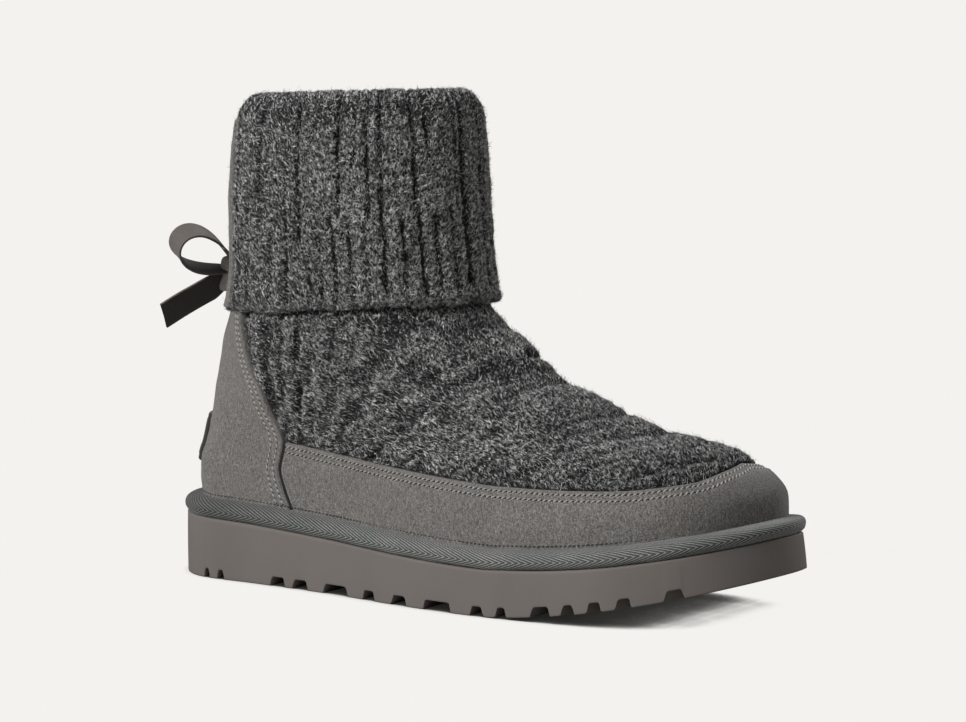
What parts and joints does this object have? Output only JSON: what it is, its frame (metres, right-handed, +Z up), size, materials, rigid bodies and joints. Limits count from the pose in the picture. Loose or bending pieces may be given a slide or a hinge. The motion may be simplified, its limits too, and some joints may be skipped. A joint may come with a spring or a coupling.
{
  "type": "knitted ankle boot",
  "caption": "Right-foot knitted ankle boot with a folded ribbed cuff, suede edge and heel panels, a ribbon bow at the back and a lugged sole.",
  "frame": {"origin": "on the floor under the heel, at the heel's rest spot", "axes": "+X to the toe, +Y to the wearer's inner side, +Z up"},
  "size_m": [0.279, 0.1019, 0.2015],
  "materials": {
    "sole_rubber": "matt moulded taupe grey",
    "edge_tape": "chevron woven tape, blue-grey",
    "footbed": "soft plush pile",
    "knit": "brushed melange knit, charcoal and light grey",
    "suede": "napped warm grey suede",
    "bare_patch": "smooth dark grey, bare",
    "ribbon": "matt ribbon, charcoal on its inner side"
  },
  "bodies": {
    "root": {"outsole": "sole_rubber", "binding": "edge_tape", "insole": "footbed", "upper": "knit", "foxing": "suede", "heel_counter": "suede", "heel_patch": "bare_patch", "cuff": "knit", "cuff_strap": "suede", "bow_knot": "ribbon", "bow_loop_lateral": "ribbon", "bow_loop_medial": "ribbon", "bow_tail_lateral": "ribbon", "bow_tail_medial": "ribbon"}
  },
  "joints": []
}
